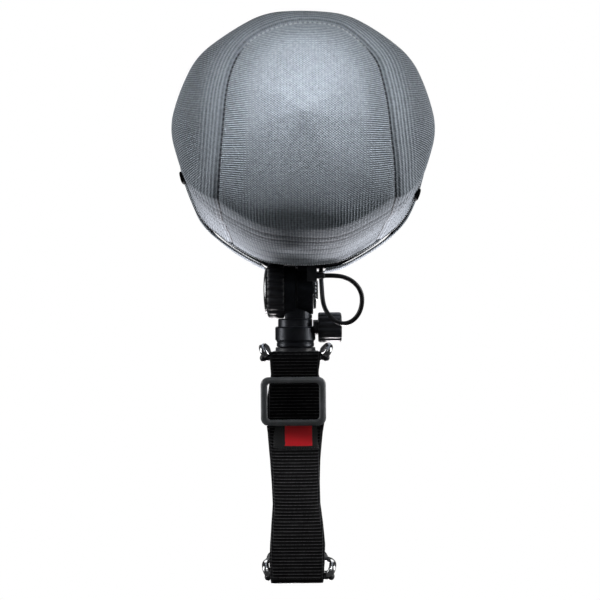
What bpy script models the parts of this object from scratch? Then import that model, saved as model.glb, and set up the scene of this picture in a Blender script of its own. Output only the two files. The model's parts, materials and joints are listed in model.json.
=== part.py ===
"""Modular basket windshield on a pistol handle: two slide-off pods, tilting swivel, hand strap."""
import math

import bmesh
import bpy
from mathutils import Matrix, Vector

# Basket
POD_RADIUS = 0.0556           # corner radius of the ten-sided pods, halfway along
POD_SQUASH = 0.90             # height of a pod section over its width
POD_LENGTH = 0.105            # mouth of a pod to its nose
CENTRE_RADIUS = 0.0615        # corner radius of the middle section
CENTRE_SQUASH = 0.93
CENTRE_HALF = 0.024           # half length of the middle section
JOINT_GAP = 0.003             # dark groove between the middle section and a pod
FABRIC = 0.0012               # thickness of the knitted skin
CAGE = 0.0016                 # thickness of the moulded cage and hoops
AXIS_Z = 0.2067               # height of the basket axis
BASKET_ROLL = math.radians(-1.2)   # the basket sits a little turned in its swivel
SIDES = 10

# Swivel
TILT_Z = 0.142
HANDLE_X = -0.0046            # the handle stands a little left of the basket axis
KNOB_RADIUS = 0.0142
KNOB_DEPTH = 0.0086
HEAD_RADIUS = 0.0122
SOCKET_RADIUS = 0.0103
STEM_RADIUS = 0.0050
BOLT_RADIUS = 0.0024
THUMB_RADIUS = 0.0077
THUMB_DEPTH = 0.0119
THUMB_Z = 0.1230

# Handle and strap
HANDLE_TOP = 0.113
CAP_RADIUS = 0.0125
GRIP_RADIUS = 0.0115
CORE_RADIUS = 0.0080
CAP_HEIGHT = 0.009
THREAD_RADIUS = 0.0040
BAR_RADIUS = 0.0015
STRAP_WIDTH = 0.0248
STRAP_THICK = 0.0013
STRAP_Y = -0.033
STRAP_TOP = 0.1094
STRAP_FOOT = 0.0051
WIRE_RADIUS = 0.0013
SLIDER_Z = 0.0894
SLIDER_SIZE = (0.0308, 0.023)
CABLE_RADIUS = 0.00115

# Fits
GAP = 0.0003
STEM_PLAY = 0.0004

for old in list(bpy.data.objects):
    bpy.data.objects.remove(old, do_unlink=True)

parts = bpy.data.collections.new("basket_windshield")
guides = bpy.data.collections.new("guides")
for group in (parts, guides):
    bpy.context.scene.collection.children.link(group)


def material(name, color, roughness, metallic=0.0):
    made = bpy.data.materials.new(name)
    made.use_nodes = True
    shader = made.node_tree.nodes["Principled BSDF"]
    shader.inputs["Base Color"].default_value = (*color, 1.0)
    shader.inputs["Roughness"].default_value = roughness
    shader.inputs["Metallic"].default_value = metallic
    return made


KNIT = material("knit_fabric", (0.33, 0.36, 0.39), 0.9)
CAGE_PLASTIC = material("cage_plastic", (0.02, 0.02, 0.022), 0.55)
MOULDED = material("moulded_black", (0.012, 0.012, 0.014), 0.5)
ANODISED = material("anodised_black", (0.015, 0.016, 0.02), 0.35, 0.6)
STEEL = material("bright_steel", (0.62, 0.63, 0.65), 0.22, 1.0)
BRASS = material("brass", (0.66, 0.5, 0.22), 0.35, 1.0)
GRIP_RUBBER = material("grip_rubber", (0.02, 0.02, 0.02), 0.8)
WEBBING = material("webbing", (0.012, 0.012, 0.013), 0.85)
LABEL = material("woven_label", (0.55, 0.0, 0.015), 0.7)
LEAD = material("cable_jacket", (0.01, 0.01, 0.01), 0.45)


def add(name, data, surface=None, at=(0, 0, 0), turn=(0, 0, 0), where=None):
    """New object with its origin at the given point; a guide is kept out of the model."""
    obj = bpy.data.objects.new(name, data)
    (where or parts).objects.link(obj)
    obj.location = at
    obj.rotation_euler = turn
    if where is guides:
        obj.hide_render = True
        obj.display_type = "WIRE"
    if surface:
        obj.data.materials.append(surface)
    return obj


def mesh_from(bm, name):
    mesh = bpy.data.meshes.new(name)
    bmesh.ops.recalc_face_normals(bm, faces=bm.faces)
    bm.to_mesh(mesh)
    bm.free()
    return mesh


def block(name, low, high, surface=None, origin=None, where=None):
    """Box between two corners."""
    low, high = Vector(low), Vector(high)
    origin = Vector(origin) if origin else (low + high) / 2
    bm = bmesh.new()
    bmesh.ops.create_cube(bm, size=1.0)
    size = Matrix.Diagonal((*(high - low), 1.0))
    bmesh.ops.transform(bm, verts=bm.verts, matrix=Matrix.Translation((low + high) / 2 - origin) @ size)
    return add(name, mesh_from(bm, name), surface, origin, where=where)


TO_X = (0, math.pi / 2, 0)


def turned(name, profile, surface=None, at=(0, 0, 0), turn=(0, 0, 0), steps=32, ring=False, where=None):
    """Screw of a radius and height profile that runs down the outside; a ring profile is closed."""
    mesh = bpy.data.meshes.new(name)
    points = [(radius, 0, height) for radius, height in profile]
    edges = [(i, i + 1) for i in range(len(points) - 1)]
    if ring:
        edges.append((len(points) - 1, 0))
    mesh.from_pydata(points, edges, [])
    obj = add(name, mesh, surface, at, turn, where)
    screw = obj.modifiers.new("turn", "SCREW")
    screw.steps = screw.render_steps = steps
    screw.use_merge_vertices = True
    screw.merge_threshold = 0.00001
    return obj


def rod(name, radius, low, high, surface=None, at=(0, 0, 0), turn=(0, 0, 0), steps=32, where=None):
    profile = [(0, high), (radius, high), (radius, low), (0, low)]
    return turned(name, profile, surface, at, turn, steps, where=where)


def hoop(name, outer, inner, low, high, surface=None, at=(0, 0, 0), turn=(0, 0, 0), steps=32, where=None):
    profile = [(inner, high), (outer, high), (outer, low), (inner, low)]
    return turned(name, profile, surface, at, turn, steps, ring=True, where=where)


def wire(name, points, radius, surface=None, origin=(0, 0, 0), where=None, steps=2):
    """Round wire along a route."""
    curve = bpy.data.curves.new(name, "CURVE")
    curve.dimensions = "3D"
    curve.bevel_depth = radius
    curve.bevel_resolution = steps
    curve.use_fill_caps = True
    spline = curve.splines.new("POLY")
    spline.points.add(len(points) - 1)
    for point, co in zip(spline.points, points):
        point.co = (*(Vector(co) - Vector(origin)), 1.0)
    return add(name, curve, surface, origin, where=where)


def plain(obj):
    """Mesh copy of a curve, welded, as a guide for a Boolean."""
    bpy.context.view_layer.update()
    graph = bpy.context.evaluated_depsgraph_get()
    mesh = bpy.data.meshes.new_from_object(obj.evaluated_get(graph))
    bm = bmesh.new()
    bm.from_mesh(mesh)
    bmesh.ops.remove_doubles(bm, verts=bm.verts, dist=1e-6)
    bm.to_mesh(mesh)
    bm.free()
    copy = add(obj.name + "_solid", mesh, at=obj.location, turn=obj.rotation_euler, where=guides)
    bpy.data.objects.remove(obj, do_unlink=True)
    return copy


def combine(obj, other, operation):
    step = obj.modifiers.new(operation.lower(), "BOOLEAN")
    step.operation = operation
    step.solver = "EXACT"
    step.object = other
    return obj


def cut(obj, *others):
    for other in others:
        combine(obj, other, "DIFFERENCE")
    return obj


def join(obj, *others):
    for other in others:
        combine(obj, other, "UNION")
    return obj


def fluted(name, radius, flute, count, low, high, bore, surface, at, turn):
    """Knob outline with rounded flutes and a bore, extruded along its own axis."""
    curve = bpy.data.curves.new(name, "CURVE")
    curve.dimensions = "2D"
    curve.fill_mode = "BOTH"
    curve.extrude = (high - low) / 2
    outline = []
    for i in range(count * 4):
        angle = 2 * math.pi * i / (count * 4)
        outline.append((radius - (flute if i % 4 in (2, 3) else 0), angle))
    circles = [outline]
    if bore:
        circles.append([(bore, 2 * math.pi * i / 24) for i in range(24)])
    for circle in circles:
        spline = curve.splines.new("POLY")
        spline.points.add(len(circle) - 1)
        spline.use_cyclic_u = True
        for point, (reach, angle) in zip(spline.points, circle):
            point.co = (reach * math.cos(angle), reach * math.sin(angle), 0, 1)
    middle = Matrix.Rotation(turn[1], 3, "Y") @ Vector((0, 0, (low + high) / 2))
    return add(name, curve, surface, Vector(at) + middle, turn)


# Basket shells

def section(radius, angle, squash=POD_SQUASH, soft=0.45):
    """Point of the rounded ten-sided section, looking along the basket."""
    pitch = 2 * math.pi / SIDES
    flat = radius * math.cos(pitch / 2) / math.cos(angle % pitch - pitch / 2)
    reach = flat * (1 - soft) + radius * 0.985 * soft
    angle += BASKET_ROLL
    return reach * math.cos(angle), reach * math.sin(angle) * squash


def shell(name, stations, thick, surface, columns, open_face=None, origin=(0, 0, AXIS_Z), squash=POD_SQUASH):
    """Skin through the stations (place along Y, radius); open_face(row, column) leaves a window."""
    bm = bmesh.new()
    rings = []
    for place, radius in stations:
        if radius == 0:
            rings.append([bm.verts.new((0, place - origin[1], 0))])
            continue
        ring = []
        for angle in columns:
            x, z = section(radius, angle, squash)
            ring.append(bm.verts.new((x, place - origin[1], z)))
        rings.append(ring)
    total = len(columns)
    for row, (first, second) in enumerate(zip(rings, rings[1:])):
        for i in range(total):
            if open_face and open_face(row, i):
                continue
            j = (i + 1) % total
            if len(second) == 1:
                bm.faces.new((first[i], first[j], second[0]))
            else:
                bm.faces.new((first[i], first[j], second[j], second[i]))
    loose = [v for v in bm.verts if not v.link_faces]
    bmesh.ops.delete(bm, geom=loose, context="VERTS")
    mesh = bpy.data.meshes.new(name)
    bmesh.ops.recalc_face_normals(bm, faces=bm.faces)
    outward = sum(f.normal.dot(f.calc_center_median() * Vector((1, 0, 1))) for f in bm.faces)
    if outward < 0:
        bmesh.ops.reverse_faces(bm, faces=bm.faces)
    bm.to_mesh(mesh)
    bm.free()
    obj = add(name, mesh, surface, origin)
    solid = obj.modifiers.new("thickness", "SOLIDIFY")
    solid.thickness = thick
    solid.offset = -1
    solid.use_even_offset = True
    return obj


MOUTH_FLARE = 1.075
POD_PROFILE = ((0, MOUTH_FLARE), (0.020, MOUTH_FLARE * 0.975), (0.048, 1.004), (0.062, 0.998), (0.071, 0.976),
               (0.079, 0.927), (0.086, 0.838), (0.092, 0.707), (0.0973, 0.53), (0.1015, 0.33), (0.1041, 0.14),
               (0.105, 0))
ROUND = [2 * math.pi * i / (SIDES * 4) for i in range(SIDES * 4)]
RIB = math.radians(3.2)
RIBBED = [2 * math.pi * side / SIDES + step for side in range(SIDES)
          for step in (-RIB, RIB, math.radians(18) - 0.001)]
POD_MOUTH = CENTRE_HALF + JOINT_GAP


def pod_radius(along):
    """Corner radius of the pod at a distance from its mouth."""
    along = along / POD_LENGTH * 0.105
    for (a, low), (b, high) in zip(POD_PROFILE, POD_PROFILE[1:]):
        if along <= b:
            return POD_RADIUS * (low + (high - low) * (along - a) / (b - a))
    return 0.0


def make_pod(label, way):
    """Skin, cage, mouth ring and pull tabs of one pod; way is -1 for the front."""
    scale = POD_LENGTH / 0.105
    mouth = (0, way * POD_MOUTH, AXIS_Z)
    skin = [(way * (POD_MOUTH + a * scale), POD_RADIUS * r) for a, r in POD_PROFILE]
    shell(label + "_pod_skin", skin, FABRIC, KNIT, ROUND, origin=mouth)
    inset = (FABRIC + 2 * GAP) * POD_RADIUS / 0.0556
    levels = (0.0075, 0.011, 0.036, 0.0395, 0.062, 0.0655, 0.080, 0.0915, 0.0935)
    cage = []
    for along in levels:
        lean = 1.0 if along < 0.07 else 1.25 if along < 0.09 else 1.9
        cage.append((way * (POD_MOUTH + along * scale), pod_radius(along * scale) - inset * lean))
    hoops = (0, 2, 4, 7)
    shell(label + "_pod_cage", cage, CAGE, CAGE_PLASTIC, RIBBED,
          lambda row, column: row not in hoops and column % 3 != 0, origin=mouth)
    # the ring fills the mouth and plugs into the middle section
    plug = pod_radius(0.0068) - inset - 0.0004
    shell(label + "_pod_ring", [(way * (POD_MOUTH + 0.0068), plug), (way * (CENTRE_HALF - 0.0025), plug)],
          CAGE, MOULDED, ROUND, origin=mouth)
    for side, turn, face in (("left", 193, 198), ("right", 339, 342)):
        x, z = section(pod_radius(0.0062), math.radians(turn))
        face = math.radians(face) + BASKET_ROLL
        lean = math.atan2(math.sin(face), math.cos(face) * POD_SQUASH)
        reach = 0.0009 + 2 * GAP
        tab = block(f"{label}_pull_tab_{side}", (-0.0009, -0.0045, -0.0028), (0.0009, 0.0045, 0.0028), MOULDED)
        tab.location = (x + reach * math.cos(lean), way * (POD_MOUTH + 0.0062), AXIS_Z + z + reach * math.sin(lean))
        tab.rotation_euler = (0, -lean, 0)


make_pod("front", -1)
make_pod("rear", 1)

# Middle section with the notch that the swivel stands in
NOTCH_LOW = (-0.0220, -0.0260, 0.140)
NOTCH_HIGH = (0.0120, 0.0175, 0.1582)
notch = block("notch_cutter", NOTCH_LOW, NOTCH_HIGH, where=guides)
centre_skin = shell("centre_skin", [(-CENTRE_HALF, CENTRE_RADIUS * 0.985), (-CENTRE_HALF + 0.004, CENTRE_RADIUS),
                                    (CENTRE_HALF - 0.004, CENTRE_RADIUS), (CENTRE_HALF, CENTRE_RADIUS * 0.985)],
                    FABRIC, KNIT, ROUND, squash=CENTRE_SQUASH)
frame_radius = CENTRE_RADIUS * 0.985 - FABRIC - GAP
centre_frame = shell("centre_frame", [(-CENTRE_HALF + 0.0004, frame_radius), (CENTRE_HALF - 0.0004, frame_radius)],
                     CAGE, MOULDED, ROUND, squash=CENTRE_SQUASH)
cut(centre_skin, notch)
cut(centre_frame, notch)

# Chassis inside the basket
PLATE_TOP = 0.1636
block("chassis_plate", (-0.0216, -0.0205, 0.1586), (0.0116, 0.0171, PLATE_TOP), MOULDED)
RAIL_HALF = 0.078
RAIL_LOW = PLATE_TOP + GAP
RAIL_TOP = RAIL_LOW + 0.0042
block("chassis_rail", (-0.006, -RAIL_HALF, RAIL_LOW), (0.006, RAIL_HALF, RAIL_TOP), MOULDED)


def make_lyre(label, place):
    """Springy lyre on a shoe that slides on the rail, with a split clip for the microphone."""
    at = (0, place, RAIL_TOP + GAP)
    shoe = block(label + "_lyre", (-0.008, place - 0.006, RAIL_TOP + GAP),
                 (0.008, place + 0.006, RAIL_TOP + GAP + 0.0042), MOULDED, origin=at)
    half = [(0.0142, 0.0005), (0.0165, 0.0075), (0.0215, 0.0095), (0.0262, 0.006), (0.0275, -0.002),
            (0.0258, -0.012), (0.0215, -0.022), (0.0145, -0.0305), (0.006, -0.0362)]
    route = [(x, place, AXIS_Z + z) for x, z in half]
    route += [(-x, y, z) for x, y, z in reversed(route)]
    spring = plain(wire(label + "_spring", route, 0.0016, where=guides))
    join(shoe, spring)
    clip = hoop(label + "_mic_clip", 0.0122, 0.0098, -0.004, 0.004, GRIP_RUBBER, (0, place, AXIS_Z),
                (math.pi / 2, 0, 0), steps=36)
    slot = block(label + "_clip_slot", (-0.003, place - 0.01, AXIS_Z), (0.003, place + 0.01, AXIS_Z + 0.02),
                 where=guides)
    cut(clip, slot)


make_lyre("front", -0.050)
make_lyre("rear", 0.050)

# Swivel: head tilts about X, yoke pans on its stem
TILT = (0, 0, TILT_Z)
head = rod("swivel_head", HEAD_RADIUS, -0.0032, 0.0046, ANODISED, TILT, TO_X, steps=48)
neck = block("head_neck", (-0.0030, -0.0075, TILT_Z + 0.002), (0.0044, 0.0075, 0.1583), where=guides)
bolt_hole = rod("bolt_cutter", BOLT_RADIUS + GAP, -0.03, 0.03, at=TILT, turn=TO_X, where=guides)
join(head, neck)
cut(head, bolt_hole)
hoop("friction_washer", 0.0112, BOLT_RADIUS + 2 * GAP, -0.0040, -0.0035, STEEL, TILT, TO_X, steps=40)
yoke = rod("swivel_yoke", 0.0087, 0.1277, 0.138, ANODISED, (HANDLE_X, 0, 0), steps=40)
drum = rod("yoke_drum", 0.0134, -0.0096, -0.0043, at=TILT, turn=TO_X, steps=48, where=guides)
stem = rod("yoke_stem", STEM_RADIUS, 0.1065, 0.130, at=(HANDLE_X, 0, 0), where=guides)
knob_room = block("knob_room", (-0.03, -0.02, 0.12), (-0.0098, 0.02, 0.15), where=guides)
head_room = rod("head_room", HEAD_RADIUS + 0.0004, -0.0041, 0.01, at=TILT, turn=TO_X, steps=48, where=guides)
join(yoke, drum, stem)
cut(yoke, knob_room, head_room, bolt_hole)
tilt_bolt = turned("tilt_bolt", [(0, 0.0072), (0.0046, 0.0072), (0.0052, 0.0068), (0.0052, 0.0064),
                                 (BOLT_RADIUS, 0.0064), (BOLT_RADIUS, -0.0172), (0, -0.0172)],
                   STEEL, TILT, TO_X)
fluted("bolt_cap", 0.0098, 0.0005, 30, 0.0049, 0.0061, BOLT_RADIUS + GAP, STEEL, TILT, TO_X)
fluted("tilt_knob", KNOB_RADIUS, 0.0008, 22, -0.0101 - KNOB_DEPTH, -0.0101, BOLT_RADIUS + GAP, MOULDED, TILT,
       TO_X)
turned("tilt_knob_cap", [(0, -0.0190), (0.0118, -0.0190), (0.0118, -0.0196), (0.0085, -0.0203), (0, -0.0206)],
       MOULDED, TILT, TO_X, steps=40)

# Handle
UP = (HANDLE_X, 0, 0)
socket = hoop("pan_socket", SOCKET_RADIUS, STEM_RADIUS + STEM_PLAY, HANDLE_TOP + GAP, 0.1274, ANODISED, UP, steps=40)
socket.data.clear_geometry()
outside = [(STEM_RADIUS + STEM_PLAY, 0.1274), (0.0084, 0.1274), (0.0088, 0.1270), (0.0088, 0.1240),
           (0.0098, 0.1240), (SOCKET_RADIUS, 0.1235), (SOCKET_RADIUS, 0.1166), (0.0096, 0.1161),
           (0.0096, HANDLE_TOP + GAP), (STEM_RADIUS + STEM_PLAY, HANDLE_TOP + GAP)]
socket.data.from_pydata([(r, 0, z) for r, z in outside], [(i, (i + 1) % 10) for i in range(10)], [])
thumb_at = (HANDLE_X, 0, THUMB_Z)
thumb_hole = rod("thumb_cutter", 0.0023, 0.004, 0.03, at=thumb_at, turn=TO_X, steps=24, where=guides)
cut(socket, thumb_hole)
thumb = fluted("thumb_screw", THUMB_RADIUS, 0.0006, 16, 0.0118, 0.0118 + THUMB_DEPTH, 0, MOULDED, thumb_at, TO_X)
thumb_solid = plain(thumb)
thumb = turned("thumb_screw", [(0, 0.0125), (0.0039, 0.0125), (0.0039, 0.0109), (0.0020, 0.0109),
                               (0.0020, STEM_RADIUS + 0.0008), (0, STEM_RADIUS + 0.0008)], MOULDED, thumb_at, TO_X, steps=24)
join(thumb, thumb_solid)
turned("handle_flange", [(STEM_RADIUS + STEM_PLAY, HANDLE_TOP), (0.0118, HANDLE_TOP), (CAP_RADIUS, HANDLE_TOP - 0.0008),
                         (CAP_RADIUS, 0.1046), (0.0117, 0.1039), (STEM_RADIUS + STEM_PLAY, 0.1039)],
       ANODISED, UP, steps=40, ring=True)
hoop("handle_core", CORE_RADIUS, STEM_RADIUS, CAP_HEIGHT + GAP, 0.1036, ANODISED, UP, steps=28)
grip = [(CORE_RADIUS + GAP, 0.1030)]
for i in range(8):
    top = 0.1030 - 0.0115 * i
    grip += [(GRIP_RADIUS, top), (GRIP_RADIUS, top - 0.0095), (GRIP_RADIUS - 0.0008, top - 0.0100)]
    grip += [(GRIP_RADIUS - 0.0008, top - 0.0110)] if i < 7 else []
grip += [(CORE_RADIUS + GAP, 0.1030 - 0.0115 * 7 - 0.0100)]
turned("grip_sleeve", grip, GRIP_RUBBER, UP, steps=32, ring=True)
turned("base_cap", [(THREAD_RADIUS + 0.0012, CAP_HEIGHT), (0.0120, CAP_HEIGHT), (CAP_RADIUS, CAP_HEIGHT - 0.0006),
                    (CAP_RADIUS, 0.0006), (0.0119, 0), (THREAD_RADIUS + 0.0012, 0)],
       ANODISED, UP, steps=40, ring=True)
hoop("thread_insert", THREAD_RADIUS + 0.0009, THREAD_RADIUS, 0.0002, CAP_HEIGHT - 0.0002, BRASS, UP, steps=28)

# Strap fittings at both ends of the handle
BRACKET_X = STRAP_WIDTH / 2 + 0.0018
EYE = (BRACKET_X - 0.0014, BRACKET_X + 0.0001)


def make_bracket(label, height):
    """Wire bracket round the handle with an eye on each arm, and the bar that the strap goes round."""
    route = [(HANDLE_X + BRACKET_X, STRAP_Y + 0.0027, height), (HANDLE_X + BRACKET_X, -0.008, height)]
    for i in range(17):
        angle = math.pi * i / 16
        route.append((HANDLE_X + BRACKET_X * math.cos(angle), BRACKET_X * math.sin(angle), height))
    route += [(2 * HANDLE_X - x, y, z) for x, y, z in reversed(route[:2])]
    bend = plain(wire(label + "_bend", route, WIRE_RADIUS, where=guides))
    bar_at = (HANDLE_X, STRAP_Y, height)
    bracket = hoop(label + "_bracket", 0.0031, BAR_RADIUS + GAP, EYE[0], EYE[1], STEEL, bar_at, TO_X, steps=24)
    other_eye = hoop(label + "_eye", 0.0031, BAR_RADIUS + GAP, -EYE[1], -EYE[0], at=bar_at, turn=TO_X, steps=24,
                     where=guides)
    join(bracket, bend, other_eye)
    end = [(0, EYE[1] + 0.0017), (0.0010, EYE[1] + 0.0015), (0.0017, EYE[1] + 0.0010), (0.0017, EYE[1] + 0.0005),
           (BAR_RADIUS, EYE[1] + 0.0003)]
    turned(label + "_bar", end + [(r, -z) for r, z in reversed(end)], MOULDED, bar_at, TO_X, steps=24)


make_bracket("strap_top", STRAP_TOP)
make_bracket("strap_foot", STRAP_FOOT)


def loop_outline(reach):
    """Closed outline of the strap loop round both bars at this distance from their axes."""
    outline = []
    for i in range(9):
        angle = math.pi * i / 8
        outline.append((STRAP_Y + reach * math.cos(angle), STRAP_TOP + reach * math.sin(angle)))
    for i in range(9):
        angle = math.pi * (1 + i / 8)
        outline.append((STRAP_Y + reach * math.cos(angle), STRAP_FOOT + reach * math.sin(angle)))
    return outline


LOOP_IN = BAR_RADIUS + GAP
LOOP_OUT = LOOP_IN + STRAP_THICK
bm = bmesh.new()
rings = []
for x in (-STRAP_WIDTH / 2, STRAP_WIDTH / 2):
    for reach in (LOOP_IN, LOOP_OUT):
        rings.append([bm.verts.new((x, y - STRAP_Y, z)) for y, z in loop_outline(reach)])
inner_l, outer_l, inner_r, outer_r = rings
for first, second in ((outer_l, outer_r), (inner_l, inner_r), (inner_l, outer_l), (inner_r, outer_r)):
    for i in range(len(first)):
        j = (i + 1) % len(first)
        bm.faces.new((first[i], first[j], second[j], second[i]))
add("hand_strap", mesh_from(bm, "hand_strap"), WEBBING, (HANDLE_X, STRAP_Y, 0))

STRAP_FACE = STRAP_Y - LOOP_OUT
block("strap_label", (HANDLE_X - 0.011, STRAP_FACE - GAP - 0.0005, 0.0665),
      (HANDLE_X + 0.011, STRAP_FACE - GAP, 0.0784), LABEL)
wide, tall = SLIDER_SIZE[0] / 2, SLIDER_SIZE[1] / 2
slider_at = (HANDLE_X, STRAP_FACE, SLIDER_Z)
front, back = STRAP_FACE - 0.0031, STRAP_FACE + STRAP_THICK + GAP + 0.0013
slider = block("strap_slider", (HANDLE_X - wide, front, SLIDER_Z - tall), (HANDLE_X + wide, back, SLIDER_Z + tall),
               MOULDED, origin=slider_at)
inside = STRAP_WIDTH / 2 + 0.0004
room = block("slider_room", (HANDLE_X - inside, STRAP_FACE - 0.0011, SLIDER_Z - tall - 0.001),
             (HANDLE_X + inside, STRAP_FACE + STRAP_THICK + GAP, SLIDER_Z + tall + 0.001), where=guides)
window = block("slider_window", (HANDLE_X - inside - 0.0002, front - 0.001, SLIDER_Z - tall + 0.0028),
               (HANDLE_X + inside + 0.0002, STRAP_FACE, SLIDER_Z + tall - 0.0028), where=guides)
behind_low = block("slider_low", (HANDLE_X - inside, STRAP_FACE, SLIDER_Z - tall - 0.001),
                   (HANDLE_X + inside, back + 0.001, SLIDER_Z - 0.0022), where=guides)
behind_high = block("slider_high", (HANDLE_X - inside, STRAP_FACE, SLIDER_Z + 0.0022),
                    (HANDLE_X + inside, back + 0.001, SLIDER_Z + tall + 0.001), where=guides)
cut(slider, room, window, behind_low, behind_high)

# Microphone lead: leaves the front gland, hangs in a loop beside the swivel and goes back in behind it
EXIT = (0.0030, -0.0176, 0.1490)
ENTRY = (0.0090, 0.0064, 0.1545)
ROUTE = [EXIT, (0.0100, -0.0176, 0.1490), (0.0148, -0.0175, 0.1490), (0.0194, -0.0172, 0.1484),
         (0.0236, -0.0166, 0.1466), (0.0268, -0.0158, 0.1436), (0.0286, -0.0150, 0.1400),
         (0.0290, -0.0142, 0.1362), (0.0282, -0.0134, 0.1318), (0.0262, -0.0127, 0.1282),
         (0.0230, -0.0121, 0.1256), (0.0192, -0.0116, 0.1249), (0.0156, -0.0112, 0.1262),
         (0.0126, -0.0108, 0.1290), (0.0104, -0.0098, 0.1326), (0.0094, -0.0078, 0.1368),
         (0.0092, -0.0044, 0.1410), (0.0091, -0.0004, 0.1446), (0.0090, 0.0034, 0.1476),
         (0.0090, 0.0058, 0.1504), (0.0090, 0.0064, 0.1528), ENTRY]

def smooth(points, times=2):
    """Corner cutting that keeps both ends."""
    for _ in range(times):
        cutted = [Vector(points[0])]
        for a, b in zip(points, points[1:]):
            a, b = Vector(a), Vector(b)
            cutted += [a * 0.75 + b * 0.25, a * 0.25 + b * 0.75]
        points = cutted + [Vector(points[-1])]
    return points


lead = smooth(ROUTE, 1)
wire("mic_lead", lead, CABLE_RADIUS, LEAD, origin=TILT)
gland = block("lead_gland_front", (0.0016, -0.0204, 0.1464), (0.0064, -0.0148, 0.1583), MOULDED)
lead_hole = rod("lead_cutter", CABLE_RADIUS + GAP, 0.0026, 0.02, at=(0, EXIT[1], EXIT[2]), turn=TO_X, steps=24, where=guides)
cut(gland, lead_hole)
hoop("lead_gland_rear", 0.0028, CABLE_RADIUS + GAP, 0.1536, 0.1583, MOULDED, (ENTRY[0], ENTRY[1], 0), steps=24)
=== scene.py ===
# Basket windshield in grey knit on a tilting swivel, with a pistol handle and a webbing hand strap.
# Metres, Z up, basket along Y with its front towards -Y.
import json
import math

import bmesh
import bpy
import numpy as np
from mathutils import Matrix, Vector


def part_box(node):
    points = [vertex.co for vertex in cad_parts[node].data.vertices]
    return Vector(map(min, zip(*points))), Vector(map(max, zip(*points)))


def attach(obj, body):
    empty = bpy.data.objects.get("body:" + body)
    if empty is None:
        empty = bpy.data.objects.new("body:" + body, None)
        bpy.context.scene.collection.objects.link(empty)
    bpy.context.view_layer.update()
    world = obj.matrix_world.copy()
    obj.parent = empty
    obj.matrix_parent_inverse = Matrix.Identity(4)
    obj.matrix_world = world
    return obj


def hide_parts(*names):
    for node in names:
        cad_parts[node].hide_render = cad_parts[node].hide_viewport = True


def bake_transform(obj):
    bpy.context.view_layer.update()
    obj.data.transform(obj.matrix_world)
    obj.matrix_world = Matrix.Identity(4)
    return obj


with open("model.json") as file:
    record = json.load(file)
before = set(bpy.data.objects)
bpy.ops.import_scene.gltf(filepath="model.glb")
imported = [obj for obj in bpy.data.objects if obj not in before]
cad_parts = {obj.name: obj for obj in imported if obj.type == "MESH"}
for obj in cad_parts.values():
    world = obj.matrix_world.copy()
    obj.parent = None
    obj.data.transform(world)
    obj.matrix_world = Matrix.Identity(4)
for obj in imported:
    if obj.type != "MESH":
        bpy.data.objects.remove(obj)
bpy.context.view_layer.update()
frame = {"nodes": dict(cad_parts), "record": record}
print("frame loaded:", len(frame["nodes"]), "nodes")

scene = bpy.context.scene
scene.view_settings.view_transform = "Standard"

# camera
view = {"place": (-0.00203, -0.4712, 0.1345), "pitch": 0.0056, "roll": -0.009, "lens": 55.04, "sensor": 36.0}


def aimCamera():
    lens = bpy.data.cameras.new("camera")
    lens.lens, lens.sensor_width = view["lens"], view["sensor"]
    lens.clip_start, lens.clip_end = 0.02, 20
    camera = bpy.data.objects.new("camera", lens)
    scene.collection.objects.link(camera)
    up = Vector((0, -math.sin(view["pitch"]), math.cos(view["pitch"])))
    ahead = Vector((0, math.cos(view["pitch"]), math.sin(view["pitch"])))
    side = Vector((1, 0, 0))
    turn, lean = math.cos(view["roll"]), math.sin(view["roll"])
    right, top = side * turn + up * lean, up * turn - side * lean
    camera.matrix_world = Matrix.Translation(view["place"]) @ Matrix((right, top, -ahead)).transposed().to_4x4()
    scene.camera = camera


aimCamera()


# shader helpers
class Flow:
    # a socket of one material; sums on it add Math nodes
    def __init__(self, finish, socket):
        self.finish, self.socket = finish, socket

    def math(self, operation, *values):
        return self.finish.node("ShaderNodeMath", {"operation": operation}, dict(enumerate(values)))

    def __add__(self, other):
        return self.math("ADD", self, other)

    __radd__ = __add__

    def __sub__(self, other):
        return self.math("SUBTRACT", self, other)

    def __rsub__(self, other):
        return self.math("SUBTRACT", other, self)

    def __mul__(self, other):
        return self.math("MULTIPLY", self, other)

    __rmul__ = __mul__

    def __abs__(self):
        return self.math("ABSOLUTE", self)

    def wave(self, pitch):
        return self.math("SINE", self * (2 * math.pi / pitch))

    def ramp(self, low, high):
        # 0 below low, 1 above high, smooth between
        return self.finish.node("ShaderNodeMapRange", {"interpolation_type": "SMOOTHSTEP"},
                                {"Value": self, "From Min": low, "From Max": high})


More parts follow.
